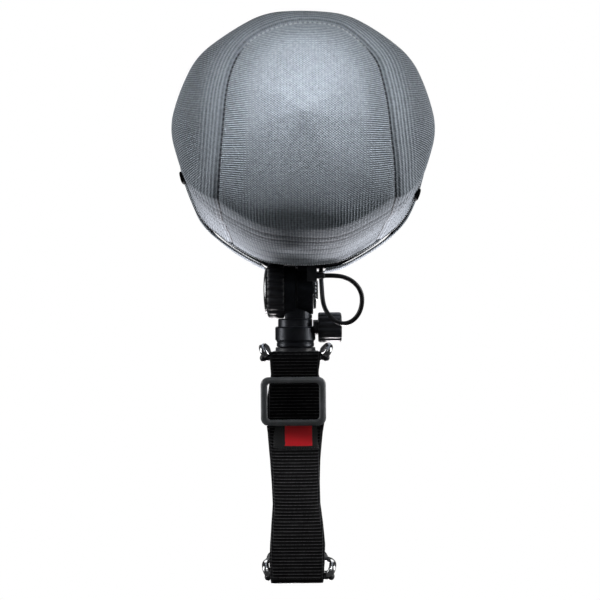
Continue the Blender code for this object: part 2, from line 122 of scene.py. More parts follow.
class Finish:
    def __init__(self, name, **constants):
        self.material = bpy.data.materials.new(name)
        self.material.use_nodes = True
        self.tree = self.material.node_tree
        self.shader = self.tree.nodes["Principled BSDF"]
        for socket, value in constants.items():
            self.shader.inputs[socket.replace("_", " ")].default_value = value

    def node(self, kind, settings, values, out=0):
        made = self.tree.nodes.new(kind)
        for key, value in settings.items():
            setattr(made, key, value)
        for key, value in values.items():
            self.plug(value, made.inputs[key])
        return Flow(self, made.outputs[out])

    def plug(self, value, socket):
        if isinstance(value, Flow):
            self.tree.links.new(value.socket, socket)
        else:
            socket.default_value = value

    def attribute(self, name, out="Fac"):
        return self.node("ShaderNodeAttribute", {"attribute_name": name}, {}, out)

    def place(self):
        # where the point is on the piece, in metres
        return self.node("ShaderNodeTexCoord", {}, {}, "Object")

    def parts(self, vector):
        split = self.node("ShaderNodeSeparateXYZ", {}, {0: vector})
        return [Flow(self, split.socket.node.outputs[i]) for i in range(3)]

    def noise(self, scale, detail, stretch=None):
        where = self.place()
        if stretch:
            where = self.node("ShaderNodeVectorMath", {"operation": "MULTIPLY"}, {0: where, 1: stretch})
        return self.node("ShaderNodeTexNoise", {}, {"Vector": where, "Scale": scale, "Detail": detail, "Roughness": 0.55})

    def mix(self, factor, first, second):
        # colours; a tuple of three is taken as red, green, blue
        pair = [value if isinstance(value, Flow) else (*value, 1.0) for value in (first, second)]
        return self.node("ShaderNodeMix", {"data_type": "RGBA"}, {0: factor, 6: pair[0], 7: pair[1]}, 2)

    def paint(self, colour, roughness, height, depth, metallic=None):
        self.plug(colour, self.shader.inputs["Base Color"])
        self.plug(roughness, self.shader.inputs["Roughness"])
        if metallic is not None:
            self.plug(metallic, self.shader.inputs["Metallic"])
        bump = self.node("ShaderNodeBump", {}, {"Height": height, "Distance": depth, "Strength": 1.0})
        self.plug(bump, self.shader.inputs["Normal"])
        return self.material


# finishes
def greyKnit(name, tint=(0.285, 0.322, 0.365)):
    # spacer knit: columns of fine loops, ribs beside the seams, cut by a stitched seam
    knit = Finish(name, Sheen_Weight=0.08, Sheen_Roughness=0.5, Specular_IOR_Level=0.2)
    across, along, around = knit.parts(knit.attribute("cloth", "Vector"))
    seam, run = knit.attribute("seam"), knit.attribute("run")
    pitch = 0.00104
    grainy = knit.noise(900, 2) - 0.5
    drift = knit.noise(55, 2) - 0.5
    rows = (along + drift * 0.0009).wave(pitch)
    columns = (across + drift * 0.0007).wave(pitch * 1.15)
    loops = rows * columns
    # inside the panel: ribs that end at the seam, then a checker, then columns low down
    inside = 1 - seam.ramp(-0.0002, 0.0002)
    nearSeam = seam.ramp(-0.015, -0.004)
    low = 1 - along.ramp(0.088, 0.106)
    checker = loops * 0.8 + columns * 0.2
    panel = checker * (1 - nearSeam) + rows * nearSeam
    band = knit.attribute("band")
    under = band.ramp(0.05, 0.2)
    dashes = columns.ramp(-0.2, 0.8) * (rows * 0.5 + 0.5) * 1.4 - 0.6
    panel = panel * (1 - low) + (columns * 0.75 + rows * 0.35) * low
    panel = panel * (1 - under) + dashes * under
    # outside it: ribs along the seam that turn into ribs along the basket
    hug = 1 - seam.ramp(0.006, 0.013)
    rim = seam.wave(pitch * 1.4) * hug * 0.8 + around.wave(pitch) * (1 - hug) + around.wave(pitch) * 0.2
    knitted = panel * inside + rim * (1 - inside)
    # the seam: a sunken line of stitches with fine teeth on the panel's side. Its groove is painted near black, a dark
    # joint deepened with painted shade, and along the top it is painted pale instead, a painted highlight
    away = abs(seam)
    groove = 1 - away.ramp(0.0001, 0.0007)
    stitch = (run + grainy * 0.0006).wave(0.0019).ramp(-0.5, 0.3)
    high = knit.attribute("high")
    dark = groove * (1 - high) * (0.72 + stitch * 0.28)
    pale = groove * high * stitch
    height = knitted * 0.5 + grainy * 0.5 - groove * 1.3
    shade = knitted * 0.30 + grainy * 0.75 + drift * 0.22 + 0.5
    colour = knit.mix(shade, tuple(c * 0.42 for c in tint), tuple(c * 1.62 for c in tint))
    # painted shade: the knit is darkened along the underside's creases, where shade falls
    colour = knit.mix(band.ramp(0.35, 1.0) * 0.75, colour, (0.07, 0.075, 0.09))
    # painted shade in the seam's groove below the top, painted highlight on its stitches along the top
    colour = knit.mix(dark * 0.88, colour, (0.012, 0.014, 0.018))
    colour = knit.mix(pale * 0.8, colour, (0.62, 0.66, 0.70))
    return knit.paint(colour, 0.82 - knitted * 0.06, height, 0.00028)


def blackPlastic(name, tone=0.015, gloss=0.42, grain=0.25, blue=1.25):
    hard = Finish(name, Specular_IOR_Level=0.5)
    fine = hard.noise(2600, 3) - 0.5
    worn = hard.noise(70, 5) - 0.5
    colour = hard.mix(worn.ramp(0.02, 0.25), (tone, tone * 1.05, tone * blue), (tone * 1.9, tone * 1.95, tone * 2.1))
    return hard.paint(colour, gloss + worn * 0.22 + fine * 0.12, fine * grain, 0.00018)


def blackAnodised(name):
    coat = Finish(name, Coat_Roughness=0.2)
    spun = coat.noise(420, 4, stretch=(1, 1, 9)) - 0.5
    rub = coat.noise(45, 5) - 0.5
    colour = coat.mix(rub.ramp(0.05, 0.3), (0.026, 0.029, 0.036), (0.060, 0.064, 0.074))
    return coat.paint(colour, 0.30 + spun * 0.18 + rub * 0.1, spun, 0.00008, 0.55 + rub * 0.2)


def brightSteel(name, tone=0.62):
    steel = Finish(name)
    drawn = steel.noise(300, 4, stretch=(1, 1, 12)) - 0.5
    spots = steel.noise(60, 4) - 0.5
    colour = steel.mix(spots.ramp(0.0, 0.35), (tone, tone * 1.01, tone * 1.03), (tone * 0.72, tone * 0.72, tone * 0.73))
    return steel.paint(colour, 0.20 + drawn * 0.2 + spots * 0.12, drawn, 0.00005, 1.0 - spots.ramp(0.1, 0.4) * 0.15)


def brassFinish(name):
    brass = Finish(name)
    dull = brass.noise(90, 4) - 0.5
    colour = brass.mix(dull + 0.5, (0.60, 0.42, 0.16), (0.40, 0.26, 0.09))
    return brass.paint(colour, 0.3 + dull * 0.3, brass.noise(800, 2), 0.00005, 1.0 - dull.ramp(0.2, 0.5) * 0.2)


def gripRubber(name):
    rubber = Finish(name, Specular_IOR_Level=0.35)
    pebble = rubber.node("ShaderNodeTexVoronoi", {}, {"Vector": rubber.place(), "Scale": 900.0, "Randomness": 0.8})
    hand = rubber.noise(35, 4) - 0.5
    colour = rubber.mix(hand.ramp(0.0, 0.3), (0.010, 0.010, 0.011), (0.020, 0.020, 0.021))
    return rubber.paint(colour, 0.62 - hand * 0.25 + pebble * 0.1, pebble, 0.00025)


def blackWebbing(name):
    # ribs across the strap, each crossed by fine warp threads; the edges are bound tighter. The rib crests and the
    # threads of the bound edges are painted pale grey on near black: a painted highlight
    web = Finish(name, Sheen_Weight=0.01, Sheen_Roughness=0.45, Specular_IOR_Level=0.1)
    across, along, edge = web.parts(web.attribute("cloth", "Vector"))
    fuzz = web.noise(1500, 3) - 0.5
    broad = web.noise(120, 3) - 0.5
    rib = along.wave(0.00155)
    threads = across.wave(0.00062)
    webHighlight = rib.ramp(0.78, 1.0) * (0.55 + threads * 0.3 + fuzz * 1.4)
    bound = edge.ramp(0.88, 0.93)
    webHighlight = webHighlight * (1 - bound) + across.wave(0.0009).ramp(0.2, 1.0) * bound * 0.5
    # painted highlight: the rib crests and the bound edges' threads lifted to a pale grey
    colour = web.mix(webHighlight * 0.8 + broad * 0.12, (0.0012, 0.0012, 0.0016), (0.150, 0.150, 0.156))
    return web.paint(colour, 0.72 - webHighlight * 0.2, rib * 0.6 + threads * 0.18 + fuzz * 0.3, 0.0002)


def wovenLabel(name):
    # black damask ground, a plain red field, a stitched hem
    damask = Finish(name, Sheen_Weight=0.15, Specular_IOR_Level=0.3)
    across, up, edge = damask.parts(damask.attribute("cloth", "Vector"))
    warp, weft = across.wave(0.00034), up.wave(0.00052)
    fleck = damask.noise(1400, 2) - 0.5
    blur = (damask.noise(700, 2) - 0.5) * 0.0006
    field = (across + blur).ramp(-0.0052, -0.0050) * (1 - (across + blur).ramp(0.0076, 0.0078))
    field = field * (up + blur).ramp(0.0013, 0.0015) * (1 - (up + blur).ramp(0.0114, 0.0116))
    hem = (1 - up.ramp(0.0006, 0.0008)) * across.wave(0.0012).ramp(0.0, 0.2)
    side = edge.ramp(0.91, 0.93) * (1 - edge.ramp(0.96, 0.98)) * up.wave(0.0012).ramp(-0.1, 0.1)
    colour = damask.mix(field, (0.006, 0.0075, 0.008), (0.85, 0.002, 0.012))
    colour = damask.mix((warp * weft).ramp(0.2, 1.0) * 0.35, colour, (0.030, 0.012, 0.014))
    colour = damask.mix((hem + side) * 0.55, colour, (0.05, 0.052, 0.055))
    return damask.paint(colour, 0.78 + fleck * 0.2, warp * weft * 0.5 + fleck * 0.6 + (hem + side) * 0.6, 0.00015)


def leadSheath(name):
    sheath = Finish(name, Specular_IOR_Level=0.45)
    fleck = sheath.noise(500, 3) - 0.5
    dust = sheath.noise(60, 4) - 0.5
    colour = sheath.mix(dust.ramp(0.0, 0.35), (0.009, 0.009, 0.010), (0.018, 0.018, 0.019))
    return sheath.paint(colour, 0.40 + dust * 0.25 + fleck * 0.1, fleck, 0.00005)


finishes = {
    "knit": greyKnit("grey_knit"),
    # the hem's pale colour is a painted highlight on the mouth's rim
    "trim": greyKnit("hem_painted_highlight", (0.52, 0.55, 0.58)),
    "cage": blackPlastic("cage_plastic", 0.014, 0.5),
    "moulded": blackPlastic("moulded_plastic", 0.022, 0.38),
    "knob": blackPlastic("knob_plastic", 0.020, 0.40, 0.15),
    # the slider's black plastic is lifted to a mid grey: a painted reflection of the lamps on its bars
    "slider": blackPlastic("slider_plastic", 0.15, 0.28, 0.2, 1.1),
    "anodised": blackAnodised("black_anodised"),
    "dome": brightSteel("dulled_alloy", 0.34),
    "steel": brightSteel("bright_steel"),
    "brass": brassFinish("brass"),
    "grip": gripRubber("grip_rubber"),
    "webbing": blackWebbing("black_webbing"),
    "label": wovenLabel("woven_label"),
    "lead": leadSheath("lead_sheath"),
}
slotFinish = {"knit": "knit", "cage": "cage", "moulded": "moulded", "anodised": "anodised", "steel": "steel",
              "brass": "brass", "grip": "grip", "webbing": "webbing", "label": "label", "lead": "lead"}
print("finishes made:", len(finishes))


# mesh helpers
def newPiece(name, points, faces, finish, body, stands=()):
    mesh = bpy.data.meshes.new(name)
    mesh.from_pydata([tuple(p) for p in points], [], faces)
    mesh.polygons.foreach_set("use_smooth", [True] * len(faces))
    mesh.validate()
    piece = bpy.data.objects.new(name, mesh)
    scene.collection.objects.link(piece)
    mesh.materials.append(finishes[finish])
    if stands:
        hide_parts(*stands)
    if body:
        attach(piece, body)
    return piece


def ownNumbers(piece, **values):
    # numbers on every point, which the finish reads
    for name, numbers in values.items():
        numbers = np.asarray(numbers, np.float32)
        kind = "FLOAT_VECTOR" if numbers.ndim == 2 else "FLOAT"
        held = piece.data.attributes.new(name, kind, "POINT")
        held.data.foreach_set("vector" if numbers.ndim == 2 else "value", numbers.ravel())


def gridFaces(rows, columns, wrap=True, flip=False):
    faces = []
    for r in range(rows - 1):
        for c in range(columns if wrap else columns - 1):
            a, b = r * columns + c, r * columns + (c + 1) % columns
            face = (a, b, b + columns, a + columns)
            faces.append(face[::-1] if flip else face)
    return faces


def turned(name, profile, finish, body, axis, at, steps=72, stands=(), wave=None, sharp=35):
    # turned about X or Z: rows of (radius, place along the axis); wave(angle, row) scales the radius
    points, rows = [], len(profile)
    for row, (radius, along) in enumerate(profile):
        for step in range(steps):
            angle = 2 * math.pi * step / steps
            reach = radius * (wave(angle, row) if wave else 1)
            a, b = reach * math.cos(angle), reach * math.sin(angle)
            points.append((at[0] + a, at[1] + b, along) if axis == "Z" else (along, at[1] + a, at[2] + b))
    faces = gridFaces(rows, steps)
    for end, row in ((0, 0), (1, rows - 1)):
        if profile[row][0] > 1e-6:
            ring = [row * steps + s for s in range(steps)]
            faces.append(tuple(ring if end else ring[::-1]))
    return finishTurned(newPiece(name, points, faces, finish, body, stands), sharp)


def finishTurned(piece, sharp=35):
    made = bmesh.new()
    made.from_mesh(piece.data)
    bmesh.ops.remove_doubles(made, verts=made.verts, dist=1e-6)
    bmesh.ops.recalc_face_normals(made, faces=made.faces)
    for edge in made.edges:
        edge.smooth = not (edge.is_manifold and edge.calc_face_angle(0) > math.radians(sharp))
    made.to_mesh(piece.data)
    made.free()
    return piece


def softened(profile, size=0.0003):
    # corners of a profile cut back twice, so that they catch the light
    made = [profile[0]]
    for before, corner, after in zip(profile, profile[1:], profile[2:]):
        before, corner, after = np.array(before), np.array(corner), np.array(after)
        back, ahead = before - corner, after - corner
        lengthBack, lengthAhead = np.linalg.norm(back), np.linalg.norm(ahead)
        cut = min(size, lengthBack / 2.5, lengthAhead / 2.5)
        if cut < 1e-5:
            made.append(tuple(corner))
            continue
        start, end = corner + back / lengthBack * cut, corner + ahead / lengthAhead * cut
        made += [tuple(start), tuple((start + end + 2 * corner) / 4), tuple(end)]
    return made + [profile[-1]]


def sweep(name, path, radius, finish, body, sides=12, stands=(), closed=False, ends=1.0, squash=(1, 1)):
    # round bar or tube along a path, its ends closed in a small dome
    path = [Vector(p) for p in path]
    count = len(path)
    radii = [radius] * count if isinstance(radius, (int, float)) else radius
    tangents = [(path[(i + 1) % count] - path[i - 1]) if closed else (path[min(i + 1, count - 1)] - path[max(i - 1, 0)])
                for i in range(count)]
    across = tangents[0].orthogonal().normalized()
    rings = []
    for point, tangent, reach in zip(path, tangents, radii):
        tangent = tangent.normalized()
        across = (across - tangent * across.dot(tangent)).normalized()
        other = tangent.cross(across)
        rings.append([point + (across * math.cos(2 * math.pi * s / sides) * squash[0]
                               + other * math.sin(2 * math.pi * s / sides) * squash[1]) * reach for s in range(sides)])
    if not closed:
        for end, sign in ((0, -1), (-1, 1)):
            point, tangent, ring = path[end], tangents[end].normalized() * sign, rings[end]
            for part in (0.5, 0.8, 0.96):
                cap = [point + (v - point) * math.sqrt(1 - part * part) + tangent * radii[end] * part * ends for v in ring]
                rings.insert(0, cap) if end == 0 else rings.append(cap)
    faces = gridFaces(len(rings), sides, flip=True)
    if closed:
        last = (len(rings) - 1) * sides
        faces += [(last + s, s, (s + 1) % sides, last + (s + 1) % sides) for s in range(sides)]
    else:
        faces.append(tuple(range(sides)))
        faces.append(tuple((len(rings) - 1) * sides + s for s in range(sides))[::-1])
    piece = newPiece(name, [v for ring in rings for v in ring], faces, finish, body, stands)
    return finishTurned(piece, 60)


def rounded(points, times):
    # Chaikin's corner cutting, ends kept
    points = [np.array(p, float) for p in points]
    for _ in range(times):
        made = [q for a, b in zip(points, points[1:]) for q in (a * 0.75 + b * 0.25, a * 0.25 + b * 0.75)]
        points = [points[0]] + made[1:-1] + [points[-1]]
    return points


def even(points, gap):
    # the same line with points this far apart
    points = np.array(points)
    run = np.concatenate([[0], np.cumsum(np.linalg.norm(np.diff(points, axis=0), axis=1))])
    places = np.linspace(0, run[-1], max(2, int(round(run[-1] / gap)) + 1))
    return np.stack([np.interp(places, run, points[:, i]) for i in range(points.shape[1])], 1), run[-1]


# microphone lead: out of the front gland, a loop to the right, back in at the rear gland
lead = {
    "thick": 0.0023,
    "route": [(0.0030, -0.0176, 0.1490), (0.0100, -0.0176, 0.1490), (0.0148, -0.0175, 0.1490), (0.0194, -0.0172, 0.1484),
              (0.0236, -0.0166, 0.1466), (0.0268, -0.0158, 0.1436), (0.0286, -0.0150, 0.1400), (0.0290, -0.0142, 0.1362),
              (0.0282, -0.0134, 0.1318), (0.0262, -0.0127, 0.1282), (0.0230, -0.0121, 0.1256), (0.0192, -0.0116, 0.1249),
              (0.0156, -0.0112, 0.1262), (0.0126, -0.0108, 0.1290), (0.0104, -0.0098, 0.1326), (0.0094, -0.0078, 0.1368),
              (0.0092, -0.0044, 0.1410), (0.0091, -0.0004, 0.1446), (0.0090, 0.0034, 0.1476), (0.0090, 0.0058, 0.1504),
              (0.0090, 0.0064, 0.1528), (0.0090, 0.0064, 0.1545)],
}


def makeLead():
    line, long = even(rounded(lead["route"], 3), 0.0009)
    piece = sweep("microphone_lead", line, lead["thick"] / 2, "lead", None, 16, ["mic_lead"])
    relief = turnedAlong("lead_relief", line[:9], [0.0018, 0.0018, 0.0016, 0.00172, 0.00152, 0.00164, 0.00144, 0.00152, 0.0013],
                         "moulded", "head")
    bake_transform(piece)
    print("lead:", round(long, 4), "m")


def turnedAlong(name, line, radii, finish, body):
    return sweep(name, line, radii, finish, body, 24, ends=0.2)


makeLead()

# knit pods
pod = {
    "axis": 0.2067, "mouth": 0.027, "length": 0.105, "radius": 0.0556, "squash": 0.90, "roll": -1.2,
    "sides": 10, "cloth": 0.0012, "flare": 1.078, "shoulder": 0.0519,
    "rows": 150, "columns": 260,
    # share of the largest girth that the flat cloth has, and share of its rectangle left once cut to shape
    "girth": 0.95, "cutShare": 0.82,
    # creases of the underside: distance from the mouth, depth
    "creases": [(0.0780, 0.8), (0.0738, 1.0), (0.0695, 0.9), (0.0648, 1.0), (0.0590, 0.8), (0.0500, 1.0), (0.0340, 0.8),
                (0.0160, 0.7)],
    # outline of the centre panel as seen along the basket, from the axis; millimetres
    "panel": [(-37.5, -62), (-36, -52), (-35.2, -44), (-34.0, -38), (-33.4, -31), (-33.2, -25), (-32.8, -19.9), (-32.1, -12.6),
              (-31.1, -3.5), (-30.2, 6), (-28.9, 13.8), (-27.0, 20.6), (-24.2, 26), (-20.4, 30.4), (-16.6, 33), (-12.7, 35),
              (-4.9, 37.7), (3.6, 38.2), (12.5, 36.8), (16.8, 34.6), (21.3, 30.8), (25.4, 26.4), (27.9, 23.0), (29.5, 19.4),
              (30.8, 13.5), (32.2, 5.6), (33.0, -1.3), (34.1, -9.3), (35.2, -18.4), (35.7, -27.2), (35.5, -36),
              (35.6, -44), (36.4, -52), (38, -62)],
}


def sectionFactor(angle, soft):
    # rounded ten-sided section: 1 at the corners, less on the flats
    pitch = 2 * math.pi / pod["sides"]
    blur = np.linspace(-0.11, 0.11, 9)
    folded = (angle[..., None] + blur) % pitch - pitch / 2
    flat = (math.cos(pitch / 2) / np.cos(folded)).mean(-1)
    return flat * (1 - soft) + 0.985 * soft


def podRadius(along):
    along = np.asarray(along, float)
    shoulder, reach = pod["shoulder"], pod["length"] - pod["shoulder"]
    mouth = 1 + (pod["flare"] - 1) * np.clip(1 - along / shoulder, 0, 1)
    part = np.clip((along - shoulder) / reach, 0, 1)
    return pod["radius"] * mouth * (1 - part ** 3.65) ** (1 / 1.133)


def profileRows(count):
    # rows an even distance apart from the mouth to the nose
    fine = np.concatenate([np.linspace(0, 0.095, 500), pod["length"] - 0.010 * np.linspace(1, 0, 700) ** 3])
    radius = podRadius(fine)
    run = np.concatenate([[0], np.cumsum(np.hypot(np.diff(fine), np.diff(radius)))])
    places = np.linspace(0, run[-1], count)
    return np.interp(places, run, fine), np.interp(places, run, radius), places


def toOutline(x, z, outline):
    # signed distance to the panel's outline, negative inside, and how far along it the nearest point is
    line = np.array(outline)
    starts, ends = line[:-1], line[1:]
    steps = ends - starts
    lengths = np.linalg.norm(steps, axis=1)
    before = np.concatenate([[0], np.cumsum(lengths)[:-1]])
    best, run, sign = np.full(x.shape, 1e9), np.zeros(x.shape), np.ones(x.shape)
    for start, step, long, base in zip(starts, steps, lengths, before):
        across, up = x - start[0], z - start[1]
        part = np.clip((across * step[0] + up * step[1]) / long ** 2, 0, 1)
        gapX, gapZ = across - part * step[0], up - part * step[1]
        away = np.hypot(gapX, gapZ)
        near = away < best
        best = np.where(near, away, best)
        run = np.where(near, base + part * long, run)
        sign = np.where(near, np.where(step[0] * gapZ - step[1] * gapX > 0, 1, -1), sign)
    return best * sign, run


def makePod(label, way):
    outline = [(x / 1000, z / 1000) for x, z in rounded(pod["panel"], 2)]
    along, radius, run = profileRows(pod["rows"])
    angles = 2 * math.pi * (np.arange(pod["columns"]) + 0.5) / pod["columns"] + math.pi / 2
    grid, turn = np.meshgrid(along, angles, indexing="ij")
    reach = np.repeat(radius[:, None], len(angles), 1)
    fade = np.clip((grid - 0.085) / 0.02, 0, 1)
    factor = sectionFactor(turn, 0.58 + 0.42 * fade)
    roll = math.radians(pod["roll"])

    def laid(size):
        return size * factor * np.cos(turn + roll), size * factor * np.sin(turn + roll) * pod["squash"]

    x, z = laid(reach)
    seam, seamRun = toOutline(x, z, outline)
    # relief: sunken seam with a welt beside it, puckers under the fold, a slack swell between the ribs of the cage
    below = np.clip(-np.sin(turn), 0, 1) ** 1.2
    pull = np.zeros_like(reach)
    pull -= 0.00055 * np.exp(-(seam / 0.0009) ** 2)
    pull += 0.00040 * np.exp(-((seam - 0.0026) / 0.0018) ** 2)
    bands = np.zeros_like(reach)
    # the fold where the face turns under
    low = abs(turn % (2 * math.pi) - 1.5 * math.pi)
    foldAt = 0.0835 - 0.012 * np.clip((low - 0.80) / 0.44, 0, 1)
    foldMask = np.clip((1.35 - low) / 0.35, 0, 1)
    pull += 0.0012 * foldMask * np.exp(-abs(grid - foldAt) / 0.0055)
    wander = 0.0007 * np.sin(turn * 3.1 + 1) + 0.0005 * np.sin(turn * 7.3) - 0.006 * np.clip((low - 0.5) / 0.7, 0, 1)
    for place, deep in pod["creases"]:
        crease = deep * below * np.exp(-((grid - place - wander * below) / np.where(grid > 0.055, 0.0008, 0.0011)) ** 2)
        pull -= 0.00055 * crease
        bands = bands + crease
    pull -= 0.00030 * (0.5 - 0.5 * np.cos(turn * 10)) * np.clip(1 - grid / 0.085, 0, 1) ** 0.5
    pull += 0.00016 * np.sin(grid * 210 + turn * 2) * np.sin(turn * 5 + grid * 80)
    rolled = np.clip(1 - grid / 0.0028, 0, 1)
    pull += 0.0004 * np.sin(rolled * math.pi) - 0.0009 * rolled ** 3
    pull *= np.clip(reach / 0.008, 0, 1) ** 2
    # the pull acts square to the surface
    slope = np.gradient(radius, run + 1e-12)
    flatness = np.sqrt(np.clip(1 - slope ** 2, 0, 1))[:, None]
    size = reach + pull * flatness
    depth = grid + pull * (-slope)[:, None]
    x, z = laid(size)
    y = way * (pod["mouth"] + np.clip(depth, 0, pod["length"]))
    outer = np.stack([x, y, z + pod["axis"]], -1)
    # inner side of the cloth, coarser in its rows
    keep = list(range(0, pod["rows"], 3)) + [pod["rows"] - 1]
    inX, inZ = laid(np.maximum(reach - pod["cloth"] * flatness, 0))
    inY = way * (pod["mouth"] + grid - pod["cloth"] * np.sqrt(np.clip(slope, -1, 0) ** 2)[:, None])
    inner = np.stack([inX, inY, inZ + pod["axis"]], -1)[keep][::-1]
    rows = np.concatenate([outer[::-1], inner[::-1]])
    # nose rows close onto one point
    columns = pod["columns"]
    faces = gridFaces(len(rows), columns, flip=way > 0)
    piece = newPiece(label + "_knit_skin", rows.reshape(-1, 3), faces, "knit", None, [label + "_pod_skin"])

    # centre line of the pod, for the distance along the panel
    turnsAt = np.arctan2(np.concatenate([-radius, radius[::-1]]) * pod["squash"],
                         np.concatenate([along, along[::-1]]) - 0.04)
    runAt = np.concatenate([run, 2 * run[-1] - run[::-1]])
    look = np.arctan2(z, grid - 0.04)
    panelRun = np.interp(look, turnsAt, runAt)
    around = (turn - math.pi / 2) * pod["radius"]
    # the top of the pod, where the seam gets a painted highlight instead of painted shade
    high = np.clip((z - 0.0245) / 0.006, 0, 1)
    cloth = np.stack([x, panelRun, around], -1)

    def bothSides(values):
        return np.concatenate([values[::-1], values[keep]])

    # band: depth of the underside's creases, which the knit reads for its pattern there and for the painted shade in
    # the creases
    ownNumbers(piece, cloth=bothSides(cloth).reshape(-1, 3), seam=bothSides(seam).ravel(), run=bothSides(seamRun).ravel(),
               high=bothSides(high).ravel(), band=bothSides(bands + 0.25 * foldMask * (grid < foldAt)).ravel())
    weldPoints(piece)
    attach(piece, label + "_pod")
    return piece


def weldPoints(piece):
    made = bmesh.new()
    made.from_mesh(piece.data)
    bmesh.ops.remove_doubles(made, verts=made.verts, dist=2e-6)
    bmesh.ops.recalc_face_normals(made, faces=made.faces)
    made.to_mesh(piece.data)
    made.free()


pods = [makePod("front", -1), makePod("rear", 1)]
for skin in pods:
    around = 2 * math.pi * pod["radius"] * pod["girth"]
print("pods knitted")


def makeHems():
    # piping rolled round each pod's mouth, its pale colour a painted highlight on the mouth's rim
    for label, way in (("front", -1), ("rear", 1)):
        line = []
        for angle in np.linspace(0, 2 * math.pi, 240, endpoint=False):
            size = (float(podRadius(0.0)) + 0.0001) * float(sectionFactor(np.array(angle), 0.58))
            turn = angle + math.radians(pod["roll"])
            line.append((size * math.cos(turn), way * (pod["mouth"] + 0.0001),
                         pod["axis"] + size * math.sin(turn) * pod["squash"]))
        piece = sweep(label + "_hem", line, 0.00052, "trim", label + "_pod", 10, closed=True)
        runs = np.repeat(np.arange(240) * 2 * math.pi * 0.055 / 240, 10)[:len(piece.data.vertices)]
        flat = np.zeros(len(piece.data.vertices))
        flat[:len(runs)] = runs
        ownNumbers(piece, cloth=np.stack([flat, flat, flat], 1), seam=np.full(len(flat), 0.02), run=flat,
                   high=flat * 0, band=flat * 0)


makeHems()

# skin of the middle section, ending in a lip on each side
middle = {"half": 0.024, "radius": 0.0616, "squash": 0.93, "rows": 46, "columns": 300, "cloth": 0.0012}


def makeMiddle():
    # columns run round from one side of the swivel's slot to the other
    places = np.linspace(-middle["half"], middle["half"], middle["rows"])
    angles = 2 * math.pi * np.arange(middle["columns"]) / middle["columns"] - math.pi / 2
    grid, turn = np.meshgrid(places, angles, indexing="ij")
    roll = math.radians(pod["roll"])
    factor = sectionFactor(turn, 0.45)
    pull = 0.00035 * np.sin(grid * 300 + turn * 3) * np.sin(turn * 7 + 1.3)
    for place, deep in ((-0.015, 1), (-0.006, 0.7), (0.004, 0.9), (0.014, 0.8)):
        pull -= 0.0004 * deep * np.exp(-((grid - place - 0.0014 * np.sin(turn * 4 + place * 300)) / 0.0012) ** 2)
    edge = np.clip(1 - (middle["half"] - abs(grid)) / 0.003, 0, 1)
    pull -= 0.0006 * edge ** 2

    def shell(size):
        x = size * factor * np.cos(turn + roll)
        z = size * factor * np.sin(turn + roll) * middle["squash"] + pod["axis"]
        return np.stack([x, grid, z], -1)

    outer, inner = shell(middle["radius"] + pull), shell(middle["radius"] - middle["cloth"])
    x, z = outer[..., 0], outer[..., 2]
    # open over the swivel's slot
    gap = (x > -0.0222) & (x < 0.0122) & (grid > -0.0262) & (grid < 0.0177) & (z < 0.17)
    rows, columns = middle["rows"], middle["columns"]
    points = np.concatenate([outer.reshape(-1, 3), inner.reshape(-1, 3)])
    second, faces = rows * columns, []
    hidden = np.zeros((rows - 1, columns), bool)
    for r in range(rows - 1):
        for c in range(columns):
            n = (c + 1) % columns
            hidden[r, c] = gap[r, c] and gap[r + 1, c] and gap[r, n] and gap[r + 1, n]
    for r in range(rows - 1):
        for c in range(columns):
            if hidden[r, c]:
                continue
            n = (c + 1) % columns
            a, b, d, e = r * columns + c, r * columns + n, (r + 1) * columns + n, (r + 1) * columns + c
            faces += [(a, b, d, e), (second + e, second + d, second + b, second + a)]
            sides = ((a, b, r - 1, c), (d, e, r + 1, c), (b, d, r, n), (e, a, r, (c - 1) % columns))
            for p, q, nr, nc in sides:
                if not 0 <= nr < rows - 1 or hidden[nr, nc]:
                    faces.append((q, p, second + p, second + q))
    piece = newPiece("middle_knit_skin", points, faces, "knit", "head", ["centre_skin"])
    around = turn * middle["radius"]
    cloth = np.stack([around, grid + 0.2, around], -1).reshape(-1, 3)
    seam = np.full(second, 0.03)
    ownNumbers(piece, cloth=np.concatenate([cloth, cloth]), seam=np.concatenate([seam, seam]),
               run=np.concatenate([around.ravel(), around.ravel()]), high=np.zeros(second * 2), band=np.zeros(second * 2))
    made = bmesh.new()
    made.from_mesh(piece.data)
    loose = [v for v in made.verts if not v.link_faces]
    bmesh.ops.delete(made, geom=loose, context="VERTS")
    bmesh.ops.recalc_face_normals(made, faces=made.faces)
    made.to_mesh(piece.data)
    made.free()


makeMiddle()
print("middle skin knitted")

# webbing hand strap
strap = {
    "centre": -0.0046, "bar": -0.0330, "top": 0.1094, "foot": 0.0051, "reach": 0.00245, "thick": 0.0013,
    "columns": 26, "frontRows": 140, "backRows": 90,
    # half width at heights, from the foot up
    "widths": [(0.000, 0.0120), (0.004, 0.0124), (0.012, 0.0129), (0.021, 0.0129), (0.031, 0.0121), (0.040, 0.0112),
               (0.050, 0.0113), (0.061, 0.0118), (0.074, 0.0129), (0.079, 0.0136), (0.090, 0.0134), (0.098, 0.0121),
               (0.1015, 0.0114), (0.106, 0.0117), (0.115, 0.0121)],
}


def strapLine():
    # side view of the loop's middle: up the front, over the top bar, down the back, under the foot bar
    s, line = strap, []
    frontY, backY = s["bar"] - s["reach"], s["bar"] + s["reach"]
    for z in np.linspace(s["foot"], s["top"], s["frontRows"]):
        line.append((frontY, z))
    for a in np.linspace(0, math.pi, 16)[1:-1]:
        line.append((s["bar"] - s["reach"] * math.cos(a), s["top"] + s["reach"] * math.sin(a)))
    for z in np.linspace(s["top"], s["foot"], s["backRows"]):
        line.append((backY, z))
    for a in np.linspace(0, math.pi, 16)[1:-1]:
        line.append((s["bar"] + s["reach"] * math.cos(a), s["foot"] - s["reach"] * math.sin(a)))
    return np.array(line)


